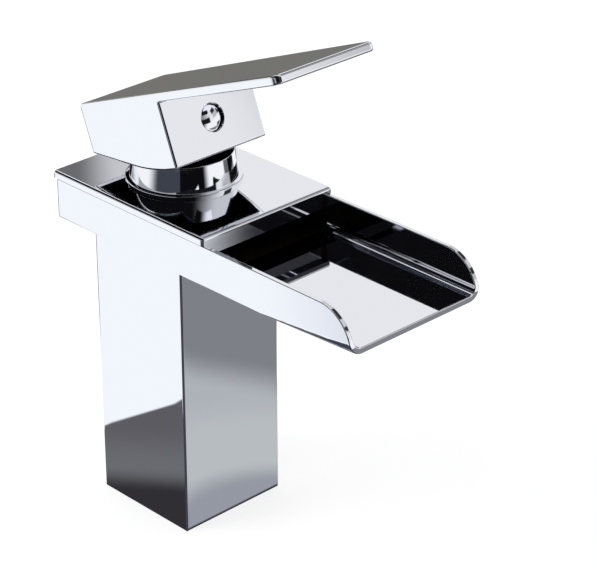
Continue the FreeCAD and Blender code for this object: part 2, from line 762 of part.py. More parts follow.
def stem_sweep():
    """Side outline of the room the stem needs between shut and fully lifted."""
    lean = math.radians(LIFT_FULL_DEG)
    top = ROTOR_TOP + OVERCUT
    bottom = TONGUE_TOP - SINK
    foot = PIVOT_Z - STEM_FOOT
    straight = STEM_HALF + SWEEP_GAP
    leaning = STEM_HALF / math.cos(lean) + SWEEP_GAP
    above = (top - PIVOT_Z) * math.tan(lean)
    below = STEM_FOOT * math.tan(lean)
    ball_front = BALL_ARM * math.sin(lean) + BALL_R + SWEEP_GAP
    return [
        (-above - leaning, top),
        (-leaning, PIVOT_Z),
        (-straight, foot),
        (-straight, bottom),
        (ball_front, bottom),
        (below + leaning, foot),
        (leaning, PIVOT_Z),
        (straight, top),
    ]


def lever_pin():
    half = ROTOR_NECK_R - PIN_SHORT
    pin = Part.makeCylinder(PIN_R, 2 * half, V(0, -half, PIVOT_Z), V(0, 1, 0))
    ends = [e for e in pin.Edges if abs(abs(e.CenterOfMass.y) - half) < 0.01]
    return pin.makeChamfer(PIN_CHAMFER, ends)


def thrust_ring():
    low = ROTOR_SHOULDER + THRUST_GAP
    return tube(ROTOR_NECK_R + ROTOR_GAP, ROTOR_FLANGE_R, low, HOUSING_CEILING)


# ---- lever, drawn shut and then lifted --------------------------------------

def lever_stem():
    bar = box(-STEM_HALF, STEM_HALF, -STEM_HALF, STEM_HALF, -STEM_FOOT, STEM_TOP)
    ends = [e for e in bar.Edges if e.CenterOfMass.z > STEM_TOP - 0.01]
    bar = bar.makeChamfer(STEM_CHAMFER, ends)
    arm = cylinder(ARM_R, -BALL_ARM, -STEM_FOOT + SINK)
    root_low = V(0, 0, -STEM_FOOT - STEM_TAPER)
    root = Part.makeCone(ARM_R, STEM_HALF - SLIP_GAP, STEM_TAPER, root_low)
    ball = Part.makeSphere(BALL_R, V(0, 0, -BALL_ARM))
    stem = bar.fuse([arm, root, ball])
    side = STEM_HALF + OVERCUT
    hole = Part.makeCylinder(PIN_R + PIN_GAP, 2 * side, V(0, -side, 0), V(0, 1, 0))
    return lifted(stem.cut(hole))


def lever_half_width(s):
    share = (s - BLOCK_BACK) / (PADDLE_TIP - BLOCK_BACK)
    return BACK_HALF + (TIP_HALF - BACK_HALF) * share


def lever_plan(s0, s1, inset, z0, z1):
    """Upright prism over the lever's outline, which widens towards its tip."""
    back = lever_half_width(s0) - inset
    front = lever_half_width(s1) - inset
    return plan_prism([(s0, -back), (s1, -front), (s1, front), (s0, back)], z0, z1)


def lever_side_profile():
    """Side view: block with its curved underside, and the long thin paddle."""
    bend = V(BEND_S, 0, BEND_N)
    middle = V(BEND_MID_S, 0, BEND_MID_N)
    flat = V(BEND_END_S, 0, BLOCK_FRONT_LOW)
    under = LEVER_TOP - PADDLE_THICK
    points = [
        V(BLOCK_FRONT, 0, BLOCK_FRONT_LOW),
        V(BLOCK_FRONT, 0, under),
        V(PADDLE_TIP, 0, under),
        V(PADDLE_TIP, 0, LEVER_TOP),
        V(BLOCK_BACK, 0, LEVER_TOP),
        V(BLOCK_BACK, 0, BLOCK_BACK_LOW),
        bend,
    ]
    edges = [Part.Arc(bend, middle, flat).toShape(), Part.makeLine(flat, points[0])]
    for start, end in zip(points, points[1:]):
        edges.append(Part.makeLine(start, end))
    face = Part.Face(Part.Wire(Part.__sortEdges__(edges)))
    half = TIP_HALF + OVERCUT
    face.translate(V(0, -half, 0))
    return face.extrude(V(0, 2 * half, 0))


def at_paddle_tip(mid, along):
    return is_upright(along) and mid.x > PADDLE_TIP - OVERCUT


def lever_outer():
    plan = lever_plan(BLOCK_BACK, PADDLE_TIP, 0.0, 0, LEVER_TOP)
    solid = plan.common(lever_side_profile())
    solid = rounded(solid, PADDLE_CORNER, at_paddle_tip)
    return rounded(solid, LEVER_EDGE, lambda mid, along: True)


def lever_cavity():
    inner_back = BLOCK_BACK + BLOCK_WALL
    inner_front = BLOCK_FRONT - BLOCK_WALL
    roof = LEVER_TOP - BLOCK_ROOF
    cavity = lever_plan(inner_back, inner_front, BLOCK_SIDE_WALL, 0, roof)
    return rounded(cavity, CAVITY_ROUND, lambda mid, along: is_upright(along))


def screw_line(radius, start, end):
    return Part.makeCylinder(radius, end - start, V(start, 0, SCREW_N), V(1, 0, 0))


def lever_handle():
    roof = LEVER_TOP - BLOCK_ROOF
    inner_front = BLOCK_FRONT - BLOCK_WALL
    shell = lever_outer().cut(lever_cavity())
    post = box(-POST_HALF, POST_HALF, -POST_HALF, POST_HALF, POST_LOW, roof + SINK)
    root = POST_HALF - SINK
    tip = inner_front + SINK
    web = box(root, tip, -WEB_HALF, WEB_HALF, SCREW_N, roof + SINK)
    sleeve = screw_line(SCREW_R + SCREW_TUBE_WALL, root, tip)
    floor = BLOCK_FRONT - RECESS_DEEP
    seat = screw_line(RECESS_R + RECESS_WALL, floor - RECESS_FLOOR, tip)
    shell = shell.fuse([post, web, sleeve, seat])
    half = STEM_HALF + SOCKET_GAP
    socket = box(-half, half, -half, half, POST_LOW - OVERCUT, STEM_TOP + SOCKET_SPARE)
    shell = shell.cut(socket)
    past = BLOCK_FRONT + OVERCUT
    shell = shell.cut(screw_line(SCREW_R + THREAD_GAP, STEM_HALF, past))
    shell = shell.cut(screw_line(RECESS_R, floor, past))
    edge = RECESS_CHAMFER
    edge_low = V(BLOCK_FRONT - edge, 0, SCREW_N)
    rim = Part.makeCone(RECESS_R, RECESS_R + edge, edge, edge_low, V(1, 0, 0))
    return lifted(shell.cut(rim).removeSplitter())


def grub_screw():
    end = STEM_HALF + SCREW_LONG
    screw = screw_line(SCREW_R, STEM_HALF, end)
    corner = HEX_FLATS / math.sqrt(3)
    points = []
    for k in range(6):
        angle = math.radians(60 * k)
        across = corner * math.cos(angle)
        points.append(V(end - HEX_DEEP, across, SCREW_N + corner * math.sin(angle)))
    wire = Part.makePolygon(points + [points[0]])
    return lifted(screw.cut(Part.Face(wire).extrude(V(HEX_DEEP + OVERCUT, 0, 0))))


def screw_cap():
    """Polished plug: a dished face inside a raised rim, with a spigot behind."""
    back = BLOCK_FRONT - RECESS_DEEP
    front = back + CAP_THICK
    plug = screw_line(RECESS_R - CAP_GAP, back, front)
    spigot = screw_line(SCREW_R - SLIP_GAP, back - CAP_SPIGOT, back)
    dish = Part.makeSphere(DISH_R, V(front + DISH_R - DISH_DEEP, 0, SCREW_N))
    return lifted(plug.fuse(spigot).cut(dish))


# ---- fixing under the deck -------------------------------------------------

def mounting_stud():
    stud = cylinder(STUD_R, STUD_END, STUD_INSIDE, STUD_X, 0)
    ends = [e for e in stud.Edges if abs(e.CenterOfMass.z - STUD_END) < 0.01]
    ends += [e for e in stud.Edges if abs(e.CenterOfMass.z - STUD_INSIDE) < 0.01]
    return stud.makeChamfer(STUD_CHAMFER, ends)


def horseshoe(radius, z0, z1):
    """Round plate with a hose notch open to the front and a hole for the stud."""
    low = z0 - OVERCUT
    high = z1 + OVERCUT
    half = HOSE_NOTCH_R
    plate = cylinder(radius, z0, z1)
    notch = cylinder(half, low, high, HOSE_NOTCH_X, 0)
    notch = notch.fuse(box(HOSE_NOTCH_X, radius + OVERCUT, -half, half, low, high))
    hole = cylinder(STUD_R + STUD_HOLE_GAP, low, high, STUD_X, 0)
    return plate.cut(notch).cut(hole)


def rubber_washer():
    return horseshoe(WASHER_R, -DECK_THICK - RUBBER_THICK, -DECK_THICK)


def clamp_washer():
    top = -DECK_THICK - RUBBER_THICK
    return horseshoe(WASHER_R - CLAMP_SHRINK, top - STEEL_THICK, top)


def stud_nut():
    top = -DECK_THICK - RUBBER_THICK - STEEL_THICK
    corner = NUT_FLATS / math.sqrt(3)
    points = []
    for k in range(6):
        angle = math.radians(60 * k + 30)
        points.append((STUD_X + corner * math.cos(angle), corner * math.sin(angle)))
    low = top - NUT_HIGH
    nut = plan_prism(points, low, top).common(nut_blank(low, top, corner))
    bore = cylinder(STUD_R + THREAD_GAP, low - OVERCUT, top + OVERCUT, STUD_X, 0)
    return nut.cut(bore)


def nut_blank(low, top, corner):
    """Round blank of the stud nut with both ends bevelled."""
    inner = corner - NUT_CORNER_IN
    profile = [
        (0, low),
        (inner, low),
        (corner, low + NUT_CORNER_UP),
        (corner, top - NUT_CORNER_UP),
        (inner, top),
        (0, top),
    ]
    blank = turned(profile)
    blank.translate(V(STUD_X, 0, 0))
    return blank


PIECES = {
    "column_body": column_body,
    "spout_head": spout_head,
    "cover_plate": cover_plate,
    "plate_seal": plate_seal,
    "bonnet_collar": bonnet_collar,
    "retaining_nut": retaining_nut,
    "cartridge_housing": cartridge_housing,
    "cartridge_base": cartridge_base,
    "housing_ring": housing_ring,
    "port_seals": port_seals,
    "disc_seals": disc_seals,
    "fixed_disc": fixed_disc,
    "moving_disc": moving_disc,
    "disc_slider": disc_slider,
    "rotor": rotor,
    "thrust_ring": thrust_ring,
    "lever_pin": lever_pin,
    "lever_stem": lever_stem,
    "lever_handle": lever_handle,
    "grub_screw": grub_screw,
    "screw_cap": screw_cap,
    "base_seal": base_seal,
    "mounting_stud": mounting_stud,
    "rubber_washer": rubber_washer,
    "clamp_washer": clamp_washer,
    "stud_nut": stud_nut,
}

os.makedirs("parts", exist_ok=True)
for name, make in PIECES.items():
    shape = make()
    shape.exportStep("parts/" + name + ".step")
    solids = len(shape.Solids)
    print(name, "solids", solids, "valid", shape.isValid(), "volume", round(shape.Volume, 1))
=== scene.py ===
"""Waterfall basin mixer in polished chrome, dressed and lit for a studio picture."""
import logging
import math
from dataclasses import dataclass, field
from enum import Enum

import bmesh
import bpy
from mathutils import Matrix, Vector


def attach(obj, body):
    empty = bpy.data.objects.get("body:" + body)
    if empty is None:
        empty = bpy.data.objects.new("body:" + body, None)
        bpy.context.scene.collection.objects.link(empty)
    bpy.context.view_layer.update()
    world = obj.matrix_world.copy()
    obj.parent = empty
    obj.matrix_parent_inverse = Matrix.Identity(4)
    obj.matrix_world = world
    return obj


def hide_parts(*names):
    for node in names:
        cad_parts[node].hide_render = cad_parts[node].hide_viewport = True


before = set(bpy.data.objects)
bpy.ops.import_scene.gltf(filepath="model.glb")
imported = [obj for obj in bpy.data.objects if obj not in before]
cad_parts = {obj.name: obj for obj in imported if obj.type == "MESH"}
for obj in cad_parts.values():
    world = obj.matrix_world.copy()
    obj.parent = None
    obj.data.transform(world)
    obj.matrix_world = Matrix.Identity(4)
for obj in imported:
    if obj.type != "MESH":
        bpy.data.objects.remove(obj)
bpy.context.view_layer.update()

LOG = logging.getLogger("waterfall_mixer")
MM = 0.001
# Points nearer than this, in metres, are one point, and one this near the axis lies on it.
WELD_M = 1e-7
ON_AXIS_M = 1e-9
# Most values of a noise texture lie between these two.
NOISE_LOW, NOISE_HIGH = 0.3, 0.7
DEGREES_PER_RADIAN = 180 / math.pi
Links = dict[int | str, object]
Profile = list[tuple[float, float]]


class Facing(Enum):
    """Which way a turned piece's axis points before it is put in its place."""

    UP = "up"
    FORWARD = "forward"


def linear(code: str) -> tuple[float, float, float, float]:
    """Turn an sRGB hex colour into the linear values that shaders take.

    Args:
        code: Six hex digits after a hash sign.

    Returns:
        Red, green, blue and an alpha of one.
    """
    channels = []
    for start in (1, 3, 5):
        value = int(code[start:start + 2], 16) / 255
        low = value / 12.92
        channels.append(low if value <= 0.04045 else ((value + 0.055) / 1.055) ** 2.4)
    return (channels[0], channels[1], channels[2], 1.0)


def add(tree: bpy.types.NodeTree, kind: str, inputs: Links, **settings: object) -> bpy.types.Node:
    """Add one node with its settings, values and links.

    Args:
        tree: The material's or world's node tree.
        kind: Blender's name for the node type.
        inputs: Socket name or number, and the value or output socket it gets.
        **settings: Properties of the node itself.

    Returns:
        The new node.
    """
    node = tree.nodes.new(kind)
    for name, value in settings.items():
        setattr(node, name, value)
    for key, value in inputs.items():
        if isinstance(value, bpy.types.NodeSocket):
            tree.links.new(value, node.inputs[key])
        else:
            node.inputs[key].default_value = value
    return node


def new_tree(name: str) -> tuple[bpy.types.Material, bpy.types.NodeTree]:
    """Start a material with an empty node tree.

    Args:
        name: The material's name.

    Returns:
        The material and its node tree.
    """
    material = bpy.data.materials.new(name)
    material.use_nodes = True
    material.node_tree.nodes.clear()
    return material, material.node_tree


def all_of(tree: bpy.types.NodeTree, factors: list[object]) -> object:
    """Make a factor that is one only where every given factor is one.

    Args:
        tree: The node tree.
        factors: Sockets of the factors.

    Returns:
        The socket of their product.
    """
    product = factors[0]
    for factor in factors[1:]:
        product = add(tree, "ShaderNodeMath", {0: product, 1: factor},
                      operation="MULTIPLY").outputs[0]
    return product


def band(tree: bpy.types.NodeTree, value: object, low: float, high: float, soft: float) -> object:
    """Make a factor that is one between two limits and fades out past each.

    Args:
        tree: The node tree.
        value: The socket that is tested.
        low: Where the band starts.
        high: Where the band ends.
        soft: Width of the fade at each limit.

    Returns:
        The socket of the factor.
    """
    sides = [add(tree, "ShaderNodeMapRange",
                 {0: value, 1: limit - soft / 2, 2: limit + soft / 2, 3: before, 4: 1.0 - before},
                 interpolation_type="SMOOTHSTEP").outputs[0]
             for limit, before in ((low, 0.0), (high, 1.0))]
    return all_of(tree, sides)


@dataclass(frozen=True)
class RawBox:
    """Box inside a piece, in millimetres, where the casting is left unplated; in the head and the
    lever its colour is also painted shade.
    """

    middle: tuple[float, float, float]
    half: tuple[float, float, float]
    tilt_deg: float = 0.0
    pivot_z: float = 0.0

    def factor(self, tree: bpy.types.NodeTree) -> object:
        """Make a factor that is one inside the box.

        Args:
            tree: The material's node tree.

        Returns:
            The socket of the factor.
        """
        place = add(tree, "ShaderNodeTexCoord", {})
        lower = add(tree, "ShaderNodeVectorMath",
                    {0: place.outputs["Object"], 1: (0, 0, self.pivot_z * MM)},
                    operation="SUBTRACT")
        level = add(tree, "ShaderNodeMapping",
                    {"Vector": lower.outputs[0], "Rotation": (0, math.radians(self.tilt_deg), 0)})
        centred = add(tree, "ShaderNodeVectorMath",
                      {0: level.outputs[0], 1: [c * MM for c in self.middle]},
                      operation="SUBTRACT")
        away = add(tree, "ShaderNodeVectorMath", {0: centred.outputs[0]}, operation="ABSOLUTE")
        parts = add(tree, "ShaderNodeSeparateXYZ", {0: away.outputs[0]})
        near = [add(tree, "ShaderNodeMath", {0: parts.outputs[axis], 1: self.half[axis] * MM},
                    operation="LESS_THAN").outputs[0]
                for axis in range(3)]
        return all_of(tree, near)


@dataclass(frozen=True)
class ChromePlate:
    """Bright chrome over polished brass or zinc: a cool mirror with hardly any haze."""

    name: str
    colour: str = "#f4f5f9"
    cast_and_shade_colour: str = "#5c5850"
    haze_low: float = 0.018
    haze_high: float = 0.05
    smear_mm: float = 12.0
    smear_from: float = 0.35
    smear_full: float = 0.7
    wave_mm: float = 45.0
    wave_height_mm: float = 0.004
    cast_roughness: float = 0.62
    grit_mm: float = 0.9
    grit_height_mm: float = 0.12
    roll_from_mm: float = 0.0
    roll_per_mm: float = 0.0021
    raw: tuple[RawBox, ...] = ()

    def build(self) -> bpy.types.Material:
        """Make the plated finish, with the unplated casting where raw boxes say.

        Returns:
            The material.
        """
        material, tree = new_tree(self.name)
        place = add(tree, "ShaderNodeTexCoord", {})
        # Faint smears from polishing, about a centimetre long, vary the haze.
        smears = add(tree, "ShaderNodeTexNoise",
                     {"Vector": place.outputs["Object"], "Scale": 1 / (self.smear_mm * MM),
                      "Detail": 3.0, "Roughness": 0.6, "Distortion": 0.8})
        haze = add(tree, "ShaderNodeMapRange",
                   {0: smears.outputs[0], 1: self.smear_from, 2: self.smear_full,
                    3: self.haze_low, 4: self.haze_high})
        # Hand polishing leaves the flat faces very slightly wavy.
        waves = add(tree, "ShaderNodeTexNoise",
                    {"Vector": place.outputs["Object"], "Scale": 1 / (self.wave_mm * MM),
                     "Detail": 1.0})
        height = add(tree, "ShaderNodeMath",
                     {0: waves.outputs[0], 1: self.wave_height_mm * MM},
                     operation="MULTIPLY").outputs[0]
        if self.roll_from_mm:
            # The buffing wheel takes more off towards the upright edges, by the distance squared.
            away = add(tree, "ShaderNodeVectorMath", {0: place.outputs["Object"]},
                       operation="ABSOLUTE")
            parts = add(tree, "ShaderNodeSeparateXYZ", {0: away.outputs[0]})
            for axis in (0, 1):
                past = add(tree, "ShaderNodeMath",
                           {0: parts.outputs[axis], 1: self.roll_from_mm * MM},
                           operation="SUBTRACT")
                past = add(tree, "ShaderNodeMath", {0: past.outputs[0], 1: 0.0},
                           operation="MAXIMUM")
                past = add(tree, "ShaderNodeMath", {0: past.outputs[0], 1: 2.0},
                           operation="POWER")
                height = add(tree, "ShaderNodeMath",
                             {0: past.outputs[0], 1: -self.roll_per_mm / MM, 2: height},
                             operation="MULTIPLY_ADD").outputs[0]
        bump = add(tree, "ShaderNodeBump",
                   {"Strength": 1.0, "Distance": 1.0, "Height": height})
        roughness = haze.outputs[0]
        colour = linear(self.colour)
        normal = bump.outputs[0]
        if self.raw:
            inside = self.raw[0].factor(tree)
            for box in self.raw[1:]:
                inside = add(tree, "ShaderNodeMath", {0: inside, 1: box.factor(tree)},
                             operation="MAXIMUM").outputs[0]
            # Sand-cast skin: grains near a millimetre, dull and dark; the head's and the lever's
            # cast colour is darkened further as painted shade.
            grains = add(tree, "ShaderNodeTexNoise",
                         {"Vector": place.outputs["Object"], "Scale": 1 / (self.grit_mm * MM),
                          "Detail": 4.0})
            roughness = add(tree, "ShaderNodeMix",
                            {0: inside, 2: roughness, 3: self.cast_roughness}).outputs[0]
            tone = add(tree, "ShaderNodeMix",
                       {0: inside, 6: linear(self.colour), 7: linear(self.cast_and_shade_colour)},
                       data_type="RGBA")
            colour = tone.outputs[2]
            grit = add(tree, "ShaderNodeMath", {0: grains.outputs[0], 1: inside},
                       operation="MULTIPLY")
            rough_skin = add(tree, "ShaderNodeMath",
                             {0: grit.outputs[0], 1: self.grit_height_mm * MM},
                             operation="MULTIPLY")
            normal = add(tree, "ShaderNodeBump",
                         {"Strength": 1.0, "Distance": 1.0, "Height": rough_skin.outputs[0],
                          "Normal": bump.outputs[0]}).outputs[0]
        shader = add(tree, "ShaderNodeBsdfPrincipled",
                     {"Base Color": colour, "Metallic": 1.0, "Roughness": roughness,
                      "Normal": normal})
        add(tree, "ShaderNodeOutputMaterial", {"Surface": shader.outputs[0]})
        return material


@dataclass(frozen=True)
class TurnedMetal:
    """Machined brass, steel or zinc-plated steel: fine rings left by the tool."""

    name: str
    colour: str
    dark: str
    roughness: float
    pitch_mm: float = 0.35
    depth_mm: float = 0.004
    axis_x_mm: float = 0.0
    stain_mm: float = 4.0
    gloss_less: float = 0.06
    gloss_more: float = 0.08

    def build(self) -> bpy.types.Material:
        """Make the finish with tool rings about the piece's upright axis.

        Returns:
            The material.
        """
        material, tree = new_tree(self.name)
        place = add(tree, "ShaderNodeTexCoord", {})
        centred = add(tree, "ShaderNodeMapping",
                      {"Vector": place.outputs["Object"],
                       "Location": (-self.axis_x_mm * MM, 0, 0)})
        parts = add(tree, "ShaderNodeSeparateXYZ", {0: centred.outputs[0]})
        across = add(tree, "ShaderNodeCombineXYZ",
                     {0: parts.outputs[0], 1: parts.outputs[1], 2: 0.0})
        radius = add(tree, "ShaderNodeVectorMath", {0: across.outputs[0]}, operation="LENGTH")
        travel = add(tree, "ShaderNodeMath", {0: radius.outputs["Value"], 1: parts.outputs[2]},
                     operation="ADD")
        turns = add(tree, "ShaderNodeMath",
                    {0: travel.outputs[0], 1: 2 * math.pi / (self.pitch_mm * MM)},
                    operation="MULTIPLY")
        rings = add(tree, "ShaderNodeMath", {0: turns.outputs[0]}, operation="SINE")
        stains = add(tree, "ShaderNodeTexNoise",
                     {"Vector": place.outputs["Object"], "Scale": 1 / (self.stain_mm * MM),
                      "Detail": 4.0})
        tone = add(tree, "ShaderNodeMix",
                   {0: stains.outputs[0], 6: linear(self.colour), 7: linear(self.dark)},
                   data_type="RGBA")
        gloss = add(tree, "ShaderNodeMapRange",
                    {0: stains.outputs[0], 1: NOISE_LOW, 2: NOISE_HIGH,
                     3: self.roughness - self.gloss_less, 4: self.roughness + self.gloss_more})
        height = add(tree, "ShaderNodeMath", {0: rings.outputs[0], 1: self.depth_mm * MM},
                     operation="MULTIPLY")
        bump = add(tree, "ShaderNodeBump",
                   {"Strength": 1.0, "Distance": 1.0, "Height": height.outputs[0]})
        shader = add(tree, "ShaderNodeBsdfPrincipled",
                     {"Base Color": tone.outputs[2], "Metallic": 1.0,
                      "Roughness": gloss.outputs[0], "Normal": bump.outputs[0]})
        add(tree, "ShaderNodeOutputMaterial", {"Surface": shader.outputs[0]})
        return material


@dataclass(frozen=True)
class MouldedAcetal:
    """Injection-moulded acetal: satin, very slightly cloudy, with a fine spark texture."""

    name: str
    colour: str
    shade: str
    roughness: float = 0.38
    ior: float = 1.48
    grain_mm: float = 0.5
    grain_height_mm: float = 0.012
    cloud_mm: float = 9.0
    gloss_less: float = 0.05
    gloss_more: float = 0.07

    def build(self) -> bpy.types.Material:
        """Make the moulded plastic.

        Returns:
            The material.
        """
        material, tree = new_tree(self.name)
        place = add(tree, "ShaderNodeTexCoord", {})
        cloud = add(tree, "ShaderNodeTexNoise",
                    {"Vector": place.outputs["Object"], "Scale": 1 / (self.cloud_mm * MM),
                     "Detail": 2.0})
        grain = add(tree, "ShaderNodeTexNoise",
                    {"Vector": place.outputs["Object"], "Scale": 1 / (self.grain_mm * MM),
                     "Detail": 2.0})
        tone = add(tree, "ShaderNodeMix",
                   {0: cloud.outputs[0], 6: linear(self.colour), 7: linear(self.shade)},
                   data_type="RGBA")
        gloss = add(tree, "ShaderNodeMapRange",
                    {0: grain.outputs[0], 1: NOISE_LOW, 2: NOISE_HIGH,
                     3: self.roughness - self.gloss_less, 4: self.roughness + self.gloss_more})
        height = add(tree, "ShaderNodeMath",
                     {0: grain.outputs[0], 1: self.grain_height_mm * MM}, operation="MULTIPLY")
        bump = add(tree, "ShaderNodeBump",
                   {"Strength": 1.0, "Distance": 1.0, "Height": height.outputs[0]})
        shader = add(tree, "ShaderNodeBsdfPrincipled",
                     {"Base Color": tone.outputs[2], "Roughness": gloss.outputs[0],
                      "IOR": self.ior, "Normal": bump.outputs[0]})
        add(tree, "ShaderNodeOutputMaterial", {"Surface": shader.outputs[0]})
        return material


@dataclass(frozen=True)
class LappedAlumina:
    """Lapped alumina ceramic: warm white, dense, with a soft polish."""

    name: str = "lapped_alumina"
    colour: str = "#efe9da"
    shade: str = "#e2dbc8"
    grain_mm: float = 0.6
    roughness_low: float = 0.12
    roughness_high: float = 0.24
    ior: float = 1.76

    def build(self) -> bpy.types.Material:
        """Make the ceramic.

        Returns:
            The material.
        """
        material, tree = new_tree(self.name)
        place = add(tree, "ShaderNodeTexCoord", {})
        grain = add(tree, "ShaderNodeTexNoise",
                    {"Vector": place.outputs["Object"], "Scale": 1 / (self.grain_mm * MM),
                     "Detail": 5.0})
        tone = add(tree, "ShaderNodeMix",
                   {0: grain.outputs[0], 6: linear(self.colour), 7: linear(self.shade)},
                   data_type="RGBA")
        gloss = add(tree, "ShaderNodeMapRange",
                    {0: grain.outputs[0], 1: NOISE_LOW, 2: NOISE_HIGH,
                     3: self.roughness_low, 4: self.roughness_high})
        shader = add(tree, "ShaderNodeBsdfPrincipled",
                     {"Base Color": tone.outputs[2], "Roughness": gloss.outputs[0],
                      "IOR": self.ior})
        add(tree, "ShaderNodeOutputMaterial", {"Surface": shader.outputs[0]})
        return material


@dataclass(frozen=True)
class MouldedRubber:
    """Black nitrile rubber: matt, with a bloom of talc and a fine moulded grain."""

    name: str = "moulded_nitrile_rubber"
    colour: str = "#1d1d1e"
    bloom: str = "#39393a"
    talc_mm: float = 5.0
    talc_from: float = 0.45
    talc_full: float = 0.8
    grain_mm: float = 0.7
    grain_height_mm: float = 0.05
    clean_roughness: float = 0.62
    dusty_roughness: float = 0.85
    ior: float = 1.52

    def build(self) -> bpy.types.Material:
        """Make the rubber.

        Returns:
            The material.
        """
        material, tree = new_tree(self.name)
        place = add(tree, "ShaderNodeTexCoord", {})
        talc = add(tree, "ShaderNodeTexNoise",
                   {"Vector": place.outputs["Object"], "Scale": 1 / (self.talc_mm * MM),
                    "Detail": 5.0, "Roughness": 0.7})
        dust = add(tree, "ShaderNodeMapRange",
                   {0: talc.outputs[0], 1: self.talc_from, 2: self.talc_full, 3: 0.0, 4: 1.0})
        tone = add(tree, "ShaderNodeMix",
                   {0: dust.outputs[0], 6: linear(self.colour), 7: linear(self.bloom)},
                   data_type="RGBA")
        grain = add(tree, "ShaderNodeTexNoise",
                    {"Vector": place.outputs["Object"], "Scale": 1 / (self.grain_mm * MM),
                     "Detail": 3.0})
        height = add(tree, "ShaderNodeMath",
                     {0: grain.outputs[0], 1: self.grain_height_mm * MM}, operation="MULTIPLY")
        bump = add(tree, "ShaderNodeBump",
                   {"Strength": 1.0, "Distance": 1.0, "Height": height.outputs[0]})
        gloss = add(tree, "ShaderNodeMapRange",
                    {0: dust.outputs[0], 1: 0.0, 2: 1.0,
                     3: self.clean_roughness, 4: self.dusty_roughness})
        shader = add(tree, "ShaderNodeBsdfPrincipled",
                     {"Base Color": tone.outputs[2], "Roughness": gloss.outputs[0],
                      "IOR": self.ior, "Normal": bump.outputs[0]})
        add(tree, "ShaderNodeOutputMaterial", {"Surface": shader.outputs[0]})
        return material


CHROME = ChromePlate("chrome_on_polished_brass").build()
BRASS = TurnedMetal("turned_brass", "#d9b36c", "#b98f4a", 0.24).build()
STEEL = TurnedMetal("machined_stainless_steel", "#c9c8c4", "#a9a8a4", 0.28, 0.3).build()
ZINC = TurnedMetal("zinc_plated_steel", "#cdd2d6", "#aab0b6", 0.34, 0.5, 0.003, -13.5).build()
WHITE_ACETAL = MouldedAcetal("moulded_acetal_white", "#eceae4", "#e0ded6").build()
GREY_ACETAL = MouldedAcetal("moulded_acetal_grey", "#8b8e92", "#7f8286").build()
BLACK_ACETAL = MouldedAcetal("moulded_acetal_black", "#232325", "#2c2c2f").build()
CERAMIC = LappedAlumina().build()
RUBBER = MouldedRubber().build()


def dress(node: str, material: bpy.types.Material) -> None:
    """Give one carried-over piece its finish.

    Args:
        node: The piece's name.
        material: The finish.
    """
    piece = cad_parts[node]
    for held in piece.material_slots:
        held.link = "OBJECT"
        held.material = material
    LOG.info("%s finished in %s", node, material.name)


def make_piece(name: str, shape: bmesh.types.BMesh, material: bpy.types.Material,
               smooth_deg: float = 32.0) -> bpy.types.Object:
    """Turn a finished bmesh into an object with clean outward normals.

    Args:
        name: The new object's name.
        shape: The mesh, in metres and in its final place.
        material: The finish.
        smooth_deg: Edges that fold by more than this stay crisp.

    Returns:
        The object, linked to the scene.
    """
    bmesh.ops.remove_doubles(shape, verts=shape.verts, dist=WELD_M)
    bmesh.ops.recalc_face_normals(shape, faces=shape.faces)
    for edge in shape.edges:
        edge.smooth = edge.calc_face_angle(0.0) < math.radians(smooth_deg)
    for face in shape.faces:
        face.smooth = True
    mesh = bpy.data.meshes.new(name)
    shape.to_mesh(mesh)
    shape.free()
    piece = bpy.data.objects.new(name, mesh)
    bpy.context.scene.collection.objects.link(piece)
    mesh.materials.append(material)
    return piece


def spun(profile: Profile, steps: int, facing: Facing = Facing.UP) -> bmesh.types.BMesh:
    """Spin a closed profile of radius and height once round its axis.

    Args:
        profile: Points of radius and height in millimetres.
        steps: Number of facets round.
        facing: Axis direction.

    Returns:
        The closed turned shape, in metres.
    """
    shape = bmesh.new()
    points = [shape.verts.new((r * MM, 0, z * MM)) for r, z in profile]
    lines = [shape.edges.new((a, b)) for a, b in zip(points, points[1:] + points[:1])
             if not (a.co.x < ON_AXIS_M and b.co.x < ON_AXIS_M)]
    bmesh.ops.spin(shape, geom=points + lines, cent=(0, 0, 0), axis=(0, 0, 1), dvec=(0, 0, 0),
                   angle=2 * math.pi, steps=steps, use_merge=True, use_normal_flip=False,
                   use_duplicate=False)
    bmesh.ops.remove_doubles(shape, verts=shape.verts, dist=WELD_M)
    if facing is Facing.FORWARD:
        bmesh.ops.rotate(shape, verts=shape.verts, cent=(0, 0, 0),
                         matrix=Matrix.Rotation(math.pi / 2, 3, "Y"))
    return shape


def soften(shape: bmesh.types.BMesh, width_mm: float, over_deg: float, segments: int = 3) -> None:
    """Round every edge that folds sharply.

    Args:
        shape: The mesh to change.
        width_mm: Size of the rounding.
        over_deg: Smallest fold that is rounded.
        segments: Number of facets across the rounding.
    """
    sharp = [e for e in shape.edges if e.calc_face_angle(0.0) > math.radians(over_deg)]
    bmesh.ops.bevel(shape, geom=sharp, offset=width_mm * MM, offset_type="OFFSET",
                    affect="EDGES", segments=segments, profile=0.5, material=-1,
                    clamp_overlap=True)


@dataclass
class Column:
    """Square column, hollow for its fittings, and the seal in its foot, in millimetres."""

    cavity_half: float = 18.75
    cavity_top: float = 70.2
    cavity_over: float = 0.02
    sockets: RawBox = RawBox((5.5, 0, 85), (7.0, 14.0, 20.0))
    flat_half: float = 17.5

    def build(self) -> None:
        """Dress the column and its foot seal."""
        hollow = RawBox((0, 0, self.cavity_top / 2),
                        (self.cavity_half, self.cavity_half,
                         self.cavity_top / 2 + self.cavity_over))
        finish = ChromePlate("chrome_over_cast_brass_column", cast_and_shade_colour="#8a6f3d",
                             cast_roughness=0.5, raw=(hollow, self.sockets),
                             roll_from_mm=self.flat_half)
        dress("column_body", finish.build())
        dress("base_seal", RUBBER)


